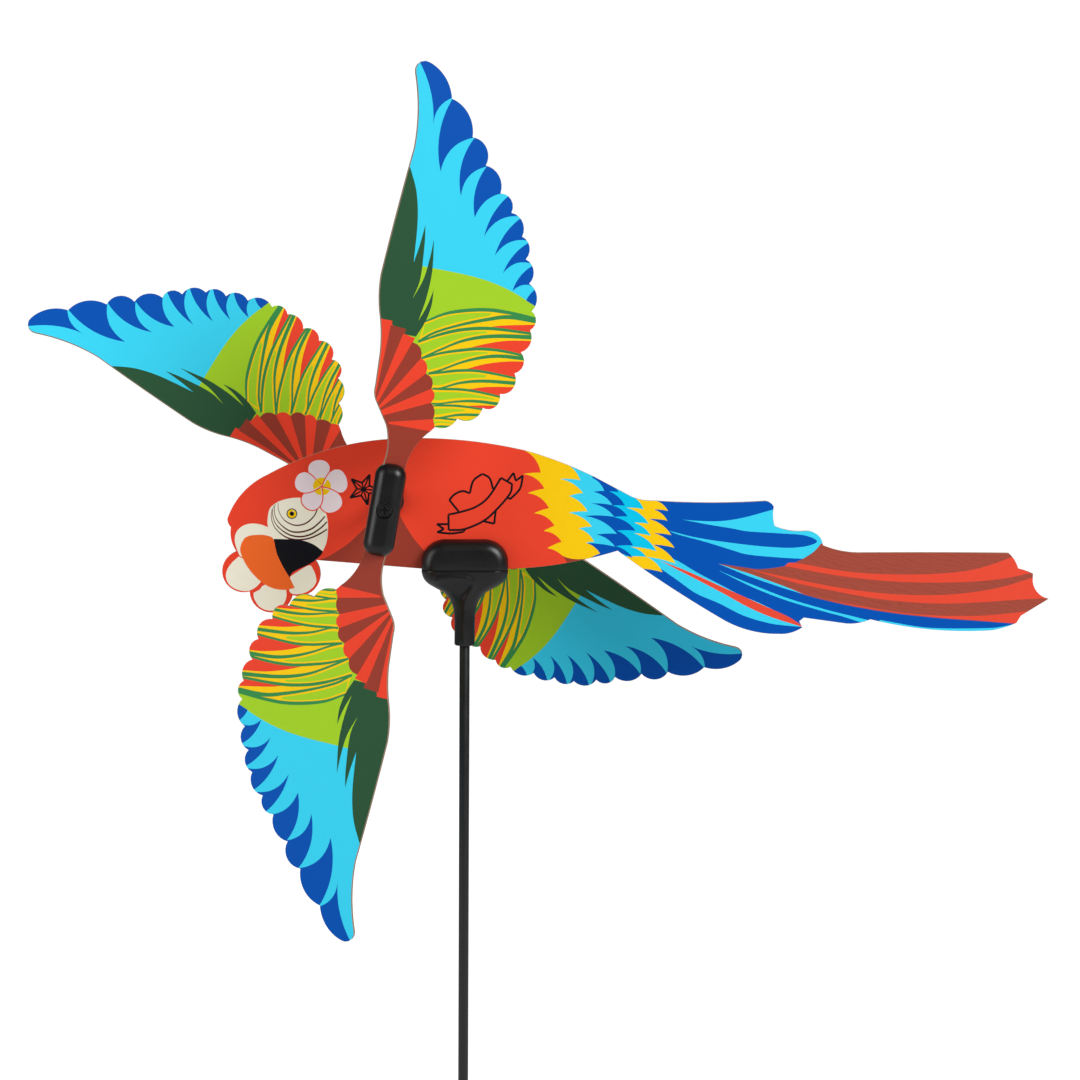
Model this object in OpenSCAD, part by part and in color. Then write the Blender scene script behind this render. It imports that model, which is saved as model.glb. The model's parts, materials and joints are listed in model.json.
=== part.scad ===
// Parrot whirligig on a mast.
// +X points to the tail, +Y to the back, +Z up.  The origin is on the mast's axis at the ground line.
// A flat bird turns on the mast like a weather vane.  An axle through the bird carries a pair of
// wings on each side, and each pair spins by itself.

/* [Bird] */
// Length of the bird's plate from beak petals to tail tip
bird_len = 488; // [400:1:600]
// Thickness of the bird's plate
plate_t = 3; // [2:0.5:6]

/* [Wings] */
// Length of one wing from the axle to its tip
wing_len = 240; // [190:1:300]
// Thickness of a wing
wing_t = 2; // [1.5:0.25:3]
// Angle of each wing to the plane it spins in
wing_pitch = 20; // [0:1:35]
// Distance between the middles of the two wing pairs along the axle
rotor_gap = 134; // [120:1:220]
// Turn of the front pair at rest, clockwise from upright
front_turn = 10; // [-90:1:90]
// Turn of the rear pair at rest, clockwise from upright
rear_turn = -60; // [-90:1:90]

/* [Hubs] */
// Length of a hub along its two wings
hub_len = 51; // [46:1:70]
// Width of a hub across its front
hub_w = 17; // [16:0.5:26]
// Depth of a hub along the axle
hub_d = 16; // [14:0.5:26]
// Depth of the round recess in a hub's outer face
recess_depth = 4; // [3.5:0.5:5]
// Diameter of that recess
recess_d = 9; // [8:0.1:10]
// Depth of the slot that a wing's root is glued into
slot_depth = 14; // [10:0.5:14]

/* [Axle] */
// Diameter of the steel axle
axle_d = 5; // [4:0.1:5]
// Wall of the bearing sleeve that a hub turns on
sleeve_wall = 1.4; // [0.8:0.1:1.4]
// Wall of the distance tube between a hub and the bird
tube_wall = 1.5; // [1:0.1:3]
// Diameter of a collar's flange against the bird
collar_d = 18; // [14:0.5:26]
// Thickness of a collar's flange
collar_t = 3; // [2:0.5:5]
// Diameter of the hole in the bird for the collars
axle_hole_d = 9; // [8:0.1:12]

/* [Bracket] */
// Width of the bracket's head
head_w = 50.5; // [44:0.5:70]
// Height of the head above its seam
head_h = 17.5; // [15:0.5:30]
// Depth of the head from front to back
head_d = 24; // [22:0.5:36]
// Height of the mast socket below the seam
socket_h = 45; // [42:1:60]
// Outside diameter of the socket's sleeve
sleeve_d = 12; // [11:0.5:18]

/* [Mast] */
// Outside diameter of the mast's tubes
mast_d = 6; // [5:0.1:8]
// Wall of the mast's tubes
mast_wall = 1; // [0.8:0.1:1.5]
// Height of the mast's top above the ground
mast_h = 530; // [400:1:900]
// Length of mast that is pushed into the ground
ground_depth = 120; // [80:1:200]
// Length of mast inside the socket
socket_grip = 35; // [25:1:36]
// Height of the collar that shows where the two tubes are joined
joint_h = 12; // [6:1:30]
// Diameter of that collar
joint_d = 8.4; // [8:0.1:12]
// Length of the joint's spigot inside each tube
joint_spigot_len = 25; // [15:1:60]
// Length of the mast's pointed end
tip_len = 12; // [6:1:20]

/* [Fits] */
// Gap round a shaft that turns
running_gap = 0.05; // [0.02:0.01:0.1]
// Gap round a piece that is pushed or glued in
push_gap = 0.02; // [0.01:0.01:0.1]
// Gap between faces that slide on each other
end_gap = 0.15; // [0.1:0.05:0.3]

/* [Hidden] */

$fn = 64;
eps = 0.01;

// The outlines below are drawn at these lengths and scaled to the ones set above.
drawn_bird_len = 488;
drawn_wing_len = 240;
bird_k = bird_len / drawn_bird_len;
wing_k = wing_len / drawn_wing_len;

// Pitch of the facets along every arc of an outline
arc_step = 2.5;

// Height of the plate's straight lower edge below the axle, and the mast's distance behind the axle
drawn_drop = 40;
drawn_lead = 44.5;

// Corners of the bird's outline from the axle, clockwise from the brow.  The third number is
// how far the edge to the next corner bows outwards.
BIRD_CORNERS = [
    [-93, -11, 3.5], [-70, 14.5, 4], [0, 35.5, 3], [80.5, 29, 1], [121, 13.5, 0], [142, 2.5, -0.8],
    [155.5, 0.3, -1], [218.5, 0.3, 1.4], [225.5, -3, -0.7], [226.2, -14.3, -1.2],
    [244.5, -17.2, 1.5], [254, -22, 0], [255.2, -25.7, -1], [276, -30, 0.2], [366, -30, 0.8],
    [372, -39.2, 0.3], [381, -42.2, 0], [381, -47, -2.3], [391, -57.3, 0], [374.5, -67.5, 0],
    [372, -71.8, 0.5], [357.3, -76.2, 2.8], [284.4, -69.7, 0.9], [270, -72.2, 0],
    [244.6, -68.7, 0], [242, -70.8, 0], [243.8, -74.5, 1.3], [229.6, -78.4, 2.1],
    [197.7, -70.5, 1], [133.8, -29.2, 2.2], [70, -40, 0], [20, -40, 0], [-42.3, -35, 9],
    [-55.7, -55.7, 11.2], [-80.5, -53.5, 12], [-88, -30, 1.4], [-91, -16, 0.6]];

// Corners of a wing's blade from the axle: along the wing, across it, and the bow of each edge.
// They run up the scalloped edge to the tip and back down the smooth edge.
BLADE_CORNERS = [
    [46, 17.5, 0], [49, 20, 2.6], [55.7, 32, 4], [63.9, 45.6, 4.2],
    [73, 54.1, 4.5], [85.6, 60.5, 3.7], [97.7, 62, 3.3], [110.6, 65, 3.1], [121, 64, 3.9],
    [135.6, 59.6, 3.7], [148.3, 55, 3.4], [160, 50.5, 3.7], [171.4, 41.8, 3.6],
    [180.3, 33.5, 4], [193.2, 22.3, 4.7], [206.3, 12, 4.2], [223.7, -3.3, 3.1],
    [239.5, -19, 3.1], [232.5, -25.6, -1.8], [194, -19.1, 0.3], [125, -25.2, 0.9],
    [102.7, -21.6, -0.5], [83.7, -18.1, 0], [66, -17.5, 0.7], [58, -15.8, 0], [46, -7.7, -1.6]];

// Widths of a wing's root either side of the hub's middle line
root_front = 5.2;
root_back = 7.2;
// Ends of the straight root, measured from the axle
root_in = hub_len / 2 - slot_depth;
root_out = hub_len / 2;

axle_r = axle_d / 2;
sleeve_in_r = axle_r + running_gap;
sleeve_out_r = sleeve_in_r + sleeve_wall;
recess_r = recess_d / 2;
tube_in_r = axle_r + push_gap;
tube_out_r = tube_in_r + tube_wall;
mast_r = mast_d / 2;
mast_bore_r = mast_r - mast_wall;
spigot_r = mast_bore_r - push_gap;
socket_bore_r = mast_r + running_gap;

// Places along the axle, measured outwards from the middle of the bird's plate
plate_face = plate_t / 2;
collar_face = plate_face + collar_t;
collar_neck_len = 3;
collar_neck_r = 5.5;
tube_start = collar_face + collar_neck_len;
hub_mid = rotor_gap / 2;
hub_inner = hub_mid - hub_d / 2;
recess_floor = hub_mid + hub_d / 2 - recess_depth;
flange_t = 1;
flange_r = hub_w / 2 - 1.5;
washer_t = 0.8;
thrust_washer_r = tube_out_r + 1;
washer_start = hub_inner - flange_t - end_gap - washer_t;
axle_end = recess_floor + end_gap;
end_washer_t = 0.5;
screw_r = 1.5;
screw_play = 0.25;
screw_hole_depth = 10;
screw_len = 8;
screw_head_r = 3.5;
screw_head_t = 2;
end_washer_r = recess_r - 0.4;

// Heights
sleeve_z = mast_h - socket_grip;
seam_z = sleeve_z + socket_h;
axle_z = seam_z + drawn_drop * bird_k;
axle_x = -drawn_lead * bird_k;
joint_z = (mast_h - ground_depth) / 2;

// Pivot cap on the mast's top
cap_t = 3;
cap_stub_len = 5;
point_spigot_len = 15;
cap_gap = 0.2;

// Bracket screws and pegs
jaw_screw_x = 15;
jaw_screw_z = 8.5;
jaw_screw_grip = 6;
jaw_screw_head_r = 2.8;
jaw_screw_head_t = 2.4;
jaw_screw_sink = 3;
peg_x = 19;
peg_r = 1.5;
peg_h = 5;
peg_inset = (head_d + plate_t) / 4;
half_head_d = head_d / 2;
socket_seam_gap = 0.1;

// ---- Outlines -------------------------------------------------------------------------------

// Points of the arc from corner a towards corner b that bows outwards by sag, without b itself.
// Outwards is to the left of the way from a to b.
function bowed_edge(a, b, sag) =
    let (chord = norm(b - a))
    abs(sag) < 0.05 ? [a] :
    let (radius = (chord * chord / 4 + sag * sag) / (2 * abs(sag)),
         side = sign(sag),
         along = (b - a) / chord,
         left = [-along[1], along[0]],
         middle = (a + b) / 2 + left * side * (abs(sag) - radius),
         half = 2 * atan(2 * abs(sag) / chord),
         start = atan2(a[1] - middle[1], a[0] - middle[0]),
         steps = max(2, ceil(half * PI / 90 * radius / arc_step)))
    [for (i = [0 : steps - 1])
        let (angle = start - side * 2 * half * i / steps)
        middle + radius * [cos(angle), sin(angle)]];

// Closed outline through corners of the form [x, y, bow], scaled by k.
function outline(corners, k = 1) =
    [for (i = [0 : len(corners) - 1])
        let (a = corners[i], b = corners[(i + 1) % len(corners)])
        each bowed_edge([a[0], a[1]] * k, [b[0], b[1]] * k, a[2] * k)];

// Corners of a whole wing: the blade at its scale, on a root that keeps the size of the hub's slot.
function wing_corners() = concat(
    [[root_in, root_back, 0], [root_out, root_back, -2]],
    BLADE_CORNERS * wing_k,
    [[root_out, -root_front, 0], [root_in, -root_front, 0]]);

// ---- Placing --------------------------------------------------------------------------------

// side is -1 for the front of the bird and 1 for the back.
// Puts a piece drawn along +Z, outwards from the plate, on the axle's line.
module on_axle(side) {
    translate([axle_x, 0, axle_z]) rotate([-90 * side, 0, 0]) children();
}

// Frame of a hub: x along its wings, y across its front, z to the back of the bird.
module at_hub(side, turn) {
    translate([axle_x, side * hub_mid, axle_z]) rotate([0, turn, 0]) rotate([0, -90, -90])
        children();
}

// Solid ring between two heights.
module ring(r_out, r_in, from, to) {
    translate([0, 0, from]) difference() {
        cylinder(h = to - from, r = r_out);
        translate([0, 0, -1]) cylinder(h = to - from + 2, r = r_in);
    }
}

// ---- Bird -----------------------------------------------------------------------------------

module body_plate() {
    color("#d8402c") difference() {
        translate([axle_x, plate_face, axle_z]) rotate([90, 0, 0])
            linear_extrude(plate_t) polygon(outline(BIRD_CORNERS, bird_k));
        translate([axle_x, 0, axle_z]) rotate([90, 0, 0])
            cylinder(h = plate_t + 2, d = axle_hole_d, center = true);
        for (x = [-jaw_screw_x, jaw_screw_x])
            translate([x, 0, seam_z + jaw_screw_z]) rotate([90, 0, 0])
                cylinder(h = plate_t + 2, r = screw_r + screw_play, center = true);
    }
}

// ---- Wings ----------------------------------------------------------------------------------

// One wing in its hub's frame, tilted to its pitch about its own length.
module wing(side, turn, tint) {
    color(tint) at_hub(side, turn) rotate([wing_pitch, 0, 0]) translate([0, 0, -wing_t / 2])
        linear_extrude(wing_t) polygon(outline(wing_corners()));
}

// ---- Hubs and bearings ----------------------------------------------------------------------

// Plan of a bar with rounded corners, centred.
module rounded_bar(length, width, corner) {
    square([length - 2 * corner, width], center = true);
    square([length, width - 2 * corner], center = true);
    for (x = [-1, 1], y = [-1, 1])
        translate([x * (length / 2 - corner), y * (width / 2 - corner)]) circle(corner);
}

module hub(side, turn) {
    end_corner = 5.5;
    long_corner = 5;
    color("#1c1d1f") difference() {
        at_hub(side, turn) intersection() {
            linear_extrude(hub_d + 2, center = true) rounded_bar(hub_len, hub_w, end_corner);
            rotate([90, 0, 90]) linear_extrude(hub_len + 2, center = true)
                rounded_bar(hub_w, hub_d, long_corner);
            rotate([90, 0, 0]) linear_extrude(hub_w + 2, center = true)
                rounded_bar(hub_len, hub_d, end_corner);
        }
        on_axle(side) {
            translate([0, 0, hub_inner - 1])
                cylinder(h = hub_d + 2, r = sleeve_out_r + push_gap);
            translate([0, 0, recess_floor]) cylinder(h = recess_depth + 1, r = recess_r);
        }
        for (half_turn = [0, 180])
            at_hub(side, turn + half_turn) rotate([wing_pitch, 0, 0])
                translate([root_in - push_gap, -root_front - push_gap, -wing_t / 2 - push_gap])
                    cube([slot_depth + 5, root_front + root_back + 2 * push_gap,
                          wing_t + 2 * push_gap]);
    }
}

// Flanged sleeve pressed into a hub, which turns on the axle.
module bearing_sleeve(side) {
    color("#e6e2d6") on_axle(side) {
        ring(sleeve_out_r, sleeve_in_r, hub_inner - flange_t / 2, recess_floor);
        ring(flange_r, sleeve_in_r, hub_inner - flange_t, hub_inner);
    }
}

module axle() {
    color("#b9bcc0") translate([axle_x, 0, axle_z]) rotate([90, 0, 0]) difference() {
        cylinder(h = 2 * axle_end, r = axle_r, center = true);
        for (end = [-1, 1])
            translate([0, 0, end * axle_end])
                cylinder(h = 2 * screw_hole_depth, r = screw_r + push_gap, center = true);
    }
}

// Flanged collar pushed into the plate's hole from one side; it holds the axle.
module collar(side) {
    color("#1c1d1f") on_axle(side) {
        ring(axle_hole_d / 2 - push_gap, axle_r + push_gap, push_gap, plate_face + eps);
        ring(collar_d / 2, axle_r + push_gap, plate_face, collar_face);
        ring(collar_neck_r, axle_r + push_gap, collar_face - eps, tube_start);
    }
}

module distance_tube(side) {
    color("#26272a") on_axle(side) ring(tube_out_r, tube_in_r, tube_start, washer_start);
}

module thrust_washer(side) {
    color("#d9d6cc") on_axle(side)
        ring(thrust_washer_r, axle_r + push_gap, washer_start, washer_start + washer_t);
}

module end_washer(side) {
    color("#a9acb0") on_axle(side)
        ring(end_washer_r, screw_r + push_gap, axle_end, axle_end + end_washer_t);
}

// Pan-head screw in the end of the axle, with a cross recess.
module hub_screw(side) {
    head_start = axle_end + end_washer_t;
    color("#2a2b2e") on_axle(side) difference() {
        union() {
            translate([0, 0, head_start - screw_len]) cylinder(h = screw_len + eps, r = screw_r);
            translate([0, 0, head_start]) cylinder(h = screw_head_t, r = screw_head_r);
        }
        for (turn = [0, 90])
            rotate([0, 0, turn]) translate([0, 0, head_start + screw_head_t])
                cube([screw_head_r * 1.2, 0.8, 2.4], center = true);
    }
}

// ---- Bracket --------------------------------------------------------------------------------

// Front view of the head above the seam.
module head_outline() {
    shoulder = head_w / 2 - 12;
    polygon(outline([
        [-head_w / 2, 0, 0], [-head_w / 2, 2.5, 4.2], [-shoulder, head_h, 0],
        [shoulder, head_h, 4.2], [head_w / 2, 2.5, 0], [head_w / 2, 0, 0]]));
}

// Half of the head, from the plate's face outwards, with its outer rim rounded.
module jaw_block(side) {
    rim = 5;
    face = half_head_d;
    intersection() {
        translate([0, 0, seam_z]) rotate([90, 0, 0])
            linear_extrude(head_d, center = true) head_outline();
        translate([-head_w, 0, seam_z]) rotate([90, 0, 90]) linear_extrude(2 * head_w)
            polygon(outline([
                [side * plate_face, 0, 0], [side * face, 0, 0],
                [side * face, head_h - rim, -side * 1.5],
                [side * (face - rim), head_h, 0], [side * plate_face, head_h, 0]]));
        translate([0, 0, seam_z - 1]) linear_extrude(head_h + 2)
            polygon(outline([
                [-head_w / 2, side * plate_face, 0],
                [-head_w / 2, side * (face - rim), side * 1.5],
                [-head_w / 2 + rim, side * face, 0], [head_w / 2 - rim, side * face, side * 1.5],
                [head_w / 2, side * (face - rim), 0], [head_w / 2, side * plate_face, 0]]));
    }
}

module peg_holes(side) {
    for (x = [-peg_x, peg_x])
        translate([x, side * peg_inset, seam_z - 1])
            cylinder(h = peg_h + 1.5, r = peg_r + push_gap);
}

module front_jaw() {
    color("#1c1d1f") difference() {
        jaw_block(-1);
        peg_holes(-1);
        for (x = [-jaw_screw_x, jaw_screw_x])
            translate([x, 0, seam_z + jaw_screw_z]) rotate([90, 0, 0])
                cylinder(h = plate_face + jaw_screw_grip + 1, r = screw_r + push_gap);
    }
}

module rear_jaw() {
    color("#1c1d1f") difference() {
        jaw_block(1);
        peg_holes(1);
        for (x = [-jaw_screw_x, jaw_screw_x])
            translate([x, 0, seam_z + jaw_screw_z]) rotate([-90, 0, 0]) {
                cylinder(h = head_d, r = screw_r + screw_play);
                translate([0, 0, half_head_d - jaw_screw_sink])
                    cylinder(h = head_d, r = jaw_screw_head_r + screw_play);
            }
    }
}

module jaw_screws() {
    shank = half_head_d - jaw_screw_sink + plate_face + jaw_screw_grip;
    for (x = [-jaw_screw_x, jaw_screw_x])
        color("#2a2b2e") translate([x, half_head_d - jaw_screw_sink, seam_z + jaw_screw_z])
            rotate([90, 0, 0]) difference() {
                union() {
                    translate([0, 0, -eps]) cylinder(h = shank + eps, r = screw_r);
                    translate([0, 0, -jaw_screw_head_t])
                        cylinder(h = jaw_screw_head_t, r = jaw_screw_head_r);
                }
                for (turn = [0, 90])
                    rotate([0, 0, turn]) translate([0, 0, -jaw_screw_head_t])
                        cube([jaw_screw_head_r * 1.2, 0.8, 2], center = true);
            }
}

// Lower half of the bracket: a funnel from the head's width to the sleeve that turns on the mast.
module mast_socket() {
    top = seam_z - socket_seam_gap;
    funnel_h = 27;
    neck_r = sleeve_d / 2;
    color("#1c1d1f") difference() {
        union() {
            intersection() {
                translate([0, 0, seam_z]) rotate([90, 0, 0])
                    linear_extrude(head_d, center = true) polygon(outline([
                        [-head_w / 2 + 0.3, -socket_seam_gap, 0],
                        [head_w / 2 - 0.3, -socket_seam_gap, 4.2],
                        [head_w / 2 - 11, -13, -2], [neck_r, -funnel_h, 0], [-neck_r, -funnel_h, -2],
                        [11 - head_w / 2, -13, 4.2]]));
                translate([-head_w, 0, seam_z]) rotate([90, 0, 90]) linear_extrude(2 * head_w)
                    polygon(outline([
                        [-half_head_d, -socket_seam_gap, 0], [half_head_d, -socket_seam_gap, 1.5],
                        [half_head_d - 2.5, -9, -1], [neck_r, -funnel_h, 0],
                        [-neck_r, -funnel_h, -1], [2.5 - half_head_d, -9, 1.5]]));
            }
            translate([0, 0, sleeve_z]) cylinder(h = socket_h - 4, r = neck_r);
            for (x = [-peg_x, peg_x], side = [-1, 1])
                translate([x, side * peg_inset, top - 1]) cylinder(h = peg_h + 1, r = peg_r);
        }
        translate([0, 0, sleeve_z - 1])
            cylinder(h = socket_grip + cap_t + cap_gap + 1, r = socket_bore_r);
    }
}

// ---- Mast -----------------------------------------------------------------------------------

// Domed cap pushed into the mast's top, which the socket rests on.
module pivot_cap() {
    dome = 1;
    cap_r = mast_r - 0.1;
    color("#e6e2d6") translate([0, 0, mast_h]) rotate_extrude() polygon([
        [0, -cap_stub_len], [spigot_r, -cap_stub_len], [spigot_r, 0], [cap_r, 0],
        [cap_r, cap_t - dome],
        for (a = [15 : 15 : 90]) [cap_r * cos(a), cap_t - dome * (1 - sin(a))]]);
}

module mast_upper() {
    color("#17181a") ring(mast_r, mast_bore_r, joint_z + joint_h / 2, mast_h);
}

// Collar between the two tubes, with a spigot into each.
module mast_joint() {
    color("#2b2c2f") translate([0, 0, joint_z]) {
        cylinder(h = joint_h, d = joint_d, center = true);
        cylinder(h = joint_h + 2 * joint_spigot_len, r = spigot_r, center = true);
    }
}

module mast_lower() {
    color("#17181a") ring(mast_r, mast_bore_r, tip_len - ground_depth, joint_z - joint_h / 2);
}

// Pointed plug in the mast's lower end.
module mast_point() {
    color("#2b2c2f") translate([0, 0, -ground_depth]) {
        cylinder(h = tip_len, r1 = 0.6, r2 = mast_r);
        translate([0, 0, tip_len - eps]) cylinder(h = point_spigot_len, r = spigot_r);
    }
}

body_plate();
wing(-1, front_turn, "#37b9e8");  // front_wing_upper
wing(-1, front_turn + 180, "#37b9e8");  // front_wing_lower
wing(1, rear_turn, "#9bc62b");  // rear_wing_left
wing(1, rear_turn + 180, "#9bc62b");  // rear_wing_right
hub(-1, front_turn);  // front_hub
hub(1, rear_turn);  // rear_hub
bearing_sleeve(-1);  // front_sleeve
bearing_sleeve(1);  // rear_sleeve
axle();
collar(-1);  // front_collar
collar(1);  // rear_collar
distance_tube(-1);  // front_tube
distance_tube(1);  // rear_tube
thrust_washer(-1);  // front_thrust_washer
thrust_washer(1);  // rear_thrust_washer
end_washer(-1);  // front_end_washer
end_washer(1);  // rear_end_washer
hub_screw(-1);  // front_hub_screw
hub_screw(1);  // rear_hub_screw
front_jaw();
rear_jaw();
jaw_screws();
mast_socket();
pivot_cap();
mast_upper();
mast_joint();
mast_lower();
mast_point();
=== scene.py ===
"""Looks of the parrot whirligig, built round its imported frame.

Sizes are in millimetres and turned to metres with MM. Lights and camera are placed in metres.
"""
import json
import math

import bmesh
import bpy
from mathutils import Matrix, Vector
from mathutils.geometry import delaunay_2d_cdt

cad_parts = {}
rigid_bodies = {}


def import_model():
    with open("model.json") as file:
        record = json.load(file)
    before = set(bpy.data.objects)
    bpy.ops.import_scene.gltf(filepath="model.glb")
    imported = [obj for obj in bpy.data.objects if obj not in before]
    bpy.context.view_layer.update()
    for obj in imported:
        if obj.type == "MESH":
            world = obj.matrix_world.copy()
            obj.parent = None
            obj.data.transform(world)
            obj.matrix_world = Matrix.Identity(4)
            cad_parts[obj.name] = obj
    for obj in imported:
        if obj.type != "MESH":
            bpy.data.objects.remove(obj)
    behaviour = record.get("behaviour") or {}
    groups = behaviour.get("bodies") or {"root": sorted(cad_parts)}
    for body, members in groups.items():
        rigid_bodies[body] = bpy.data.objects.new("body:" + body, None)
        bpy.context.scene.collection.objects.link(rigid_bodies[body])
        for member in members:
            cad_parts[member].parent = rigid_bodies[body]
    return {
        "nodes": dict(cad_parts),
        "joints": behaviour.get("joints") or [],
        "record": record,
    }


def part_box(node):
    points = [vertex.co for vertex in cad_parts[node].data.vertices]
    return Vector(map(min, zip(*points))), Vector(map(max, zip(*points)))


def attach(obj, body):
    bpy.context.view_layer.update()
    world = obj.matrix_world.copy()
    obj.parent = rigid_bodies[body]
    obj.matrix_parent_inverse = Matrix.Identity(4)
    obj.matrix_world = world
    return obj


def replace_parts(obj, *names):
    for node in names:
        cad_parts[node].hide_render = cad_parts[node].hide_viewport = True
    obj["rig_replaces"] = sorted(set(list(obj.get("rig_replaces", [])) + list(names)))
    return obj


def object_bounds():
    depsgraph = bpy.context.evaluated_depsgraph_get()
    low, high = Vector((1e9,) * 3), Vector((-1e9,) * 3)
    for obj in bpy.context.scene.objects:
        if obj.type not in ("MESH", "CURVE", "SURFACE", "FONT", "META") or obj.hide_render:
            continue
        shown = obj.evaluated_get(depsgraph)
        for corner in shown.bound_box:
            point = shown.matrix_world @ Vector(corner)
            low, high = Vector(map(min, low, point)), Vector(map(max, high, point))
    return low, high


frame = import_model()
cad_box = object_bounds()

MM = 0.001
PLATE_T = 3.0
WING_T = 2.0
WING_PITCH = math.radians(20)
# how far each pair of wings is turned from upright, in degrees
FRONT_TURN = 10
REAR_TURN = -60

hub_at = {j["child"]: Vector(j["pos_m"]) for j in frame["joints"]}


def linked(name, data):
    """A new object in the scene."""
    made = bpy.data.objects.new(name, data)
    bpy.context.scene.collection.objects.link(made)
    return made


def settle(piece, node, body):
    """Tells the frame which node a piece stands for and the body it rides on."""
    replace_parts(piece, node)
    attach(piece, body)


# ---- Materials ------------------------------------------------------------------------------

def linear(hex_colour):
    """sRGB hex to the linear colour that a shader takes."""
    channels = [int(hex_colour[i:i + 2], 16) / 255 for i in (1, 3, 5)]
    return [c / 12.92 if c <= 0.04045 else ((c + 0.055) / 1.055) ** 2.4 for c in channels] + [1.0]


def add_node(tree, kind, settings=None, inputs=None):
    """One node with its settings. Each input is a value, or a (node, output) pair to link."""
    made = tree.nodes.new(kind)
    for key, value in (settings or {}).items():
        setattr(made, key, value)
    for key, value in (inputs or {}).items():
        if isinstance(value, tuple) and isinstance(value[0], bpy.types.Node):
            tree.links.new(value[0].outputs[value[1]], made.inputs[key])
        else:
            made.inputs[key].default_value = value
    return made


def new_material(name):
    """An empty material with its tree, Principled shader and output."""
    made = bpy.data.materials.new(name)
    made.use_nodes = True
    tree = made.node_tree
    tree.nodes.clear()
    shader = add_node(tree, "ShaderNodeBsdfPrincipled")
    add_node(tree, "ShaderNodeOutputMaterial", inputs={"Surface": (shader, "BSDF")})
    return made, tree, shader


GROWTH_LINE = "#5A2A22"


def plywood_ink(name, colour, figure=0.0):
    """UV-cured ink on birch plywood under satin varnish.

    The eye gets a flat, even colour whose sheen is broken by fine raised grain along the panel.
    With a figure the wavy growth lines of the veneer also tint the ink a little.
    """
    made, tree, shader = new_material(name)
    own = add_node(tree, "ShaderNodeUVMap", {"uv_map": "panel"})
    # birch pores are 0.1 mm wide and 2 mm long; they are drawn 3 times as coarse, so that they show
    along = add_node(tree, "ShaderNodeMapping", inputs={"Vector": (own, "UV"), "Scale": (160, 2600,
                                                                                         1)})
    pores = add_node(tree, "ShaderNodeTexNoise", {"noise_dimensions": "2D"},
                     {"Vector": (along, "Vector"), "Scale": 1.0, "Detail": 3.0, "Roughness": 0.6})
    # varnish levels out in ripples of about 4 mm
    ripple = add_node(tree, "ShaderNodeTexNoise", {"noise_dimensions": "2D"},
                      {"Vector": (own, "UV"), "Scale": 240.0, "Detail": 1.0})
    sheen = add_node(tree, "ShaderNodeMapRange", inputs={
        "Value": (pores, "Fac"), "From Min": 0.3, "From Max": 0.7, "To Min": 0.36, "To Max": 0.5})
    tree.links.new(sheen.outputs["Result"], shader.inputs["Roughness"])
    raised = add_node(tree, "ShaderNodeBump", inputs={
        "Height": (pores, "Fac"), "Strength": 0.35, "Distance": 0.00004})
    level = add_node(tree, "ShaderNodeBump", inputs={
        "Height": (ripple, "Fac"), "Strength": 0.25, "Distance": 0.00006,
        "Normal": (raised, "Normal")})
    tree.links.new(level.outputs["Normal"], shader.inputs["Normal"])
    shader.inputs["Base Color"].default_value = linear(colour)
    shader.inputs["Specular IOR Level"].default_value = 0.07
    if figure:
        # growth lines 2 to 5 mm apart, bent by a slow noise
        bend = add_node(tree, "ShaderNodeMapping", inputs={
            "Vector": (own, "UV"), "Rotation": (0, 0, 0.5), "Scale": (1, 2.2, 1)})
        lines = add_node(tree, "ShaderNodeTexWave", {"wave_type": "BANDS", "bands_direction": "Y"},
                         {
            "Vector": (bend, "Vector"), "Scale": 60.0, "Distortion": 9.0, "Detail": 2.0,
            "Detail Scale": 1.4, "Detail Roughness": 0.5})
        narrow = add_node(tree, "ShaderNodeMapRange", inputs={
            "Value": (lines, "Fac"), "From Min": 0.75, "From Max": 1.0, "To Min": 0.0,
            "To Max": figure})
        tint = add_node(tree, "ShaderNodeMix", {"data_type": "RGBA"}, {
            "Factor": (narrow, "Result")})
        tint.inputs[6].default_value = linear(colour)
        tint.inputs[7].default_value = linear(GROWTH_LINE)
        tree.links.new(tint.outputs[2], shader.inputs["Base Color"])
    return made


INK_COLOURS = {
    "red": "#E8432C", "brown": "#953B2D", "yellow": "#F6C70E", "lime": "#A0CC28",
    "green": "#37894A", "dark_green": "#2B5337", "pale_cyan": "#38CFEE", "deep_cyan": "#06C2E8",
    "blue": "#0150AE", "cream": "#EFEAD6", "petal": "#ECDDE1", "orange": "#EE6829",
    "black": "#15161B", "maroon": "#56241F", "slate": "#3A4750", "tail_red": "#E24A35",
    "tail_brown": "#A04A3B",
}
# the veneer's figure shows through this ink only
FIGURED = {"tail_brown": 0.16}
INKS = {name: plywood_ink("plywood_ink_" + name, colour, FIGURED.get(name, 0.0))
        for name, colour in INK_COLOURS.items()}


def plywood_edge(name, colour, dark):
    """Edge of birch plywood cut by laser: the eye gets a scorched tan line, uneven on its way."""
    made, tree, shader = new_material(name)
    own = add_node(tree, "ShaderNodeTexCoord")
    # the beam's ripple is about 0.4 mm along the edge, drawn at 0.8 mm
    scorch = add_node(tree, "ShaderNodeTexNoise", inputs={
        "Vector": (own, "Object"), "Scale": 1200.0, "Detail": 2.0})
    tint = add_node(tree, "ShaderNodeMix", {"data_type": "RGBA"}, {"Factor": (scorch, "Fac")})
    tint.inputs[6].default_value = linear(colour)
    tint.inputs[7].default_value = linear(dark)
    tree.links.new(tint.outputs[2], shader.inputs["Base Color"])
    bump = add_node(tree, "ShaderNodeBump", inputs={
        "Height": (scorch, "Fac"), "Strength": 0.4, "Distance": 0.0001})
    tree.links.new(bump.outputs["Normal"], shader.inputs["Normal"])
    shader.inputs["Roughness"].default_value = 0.7
    return made


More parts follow.
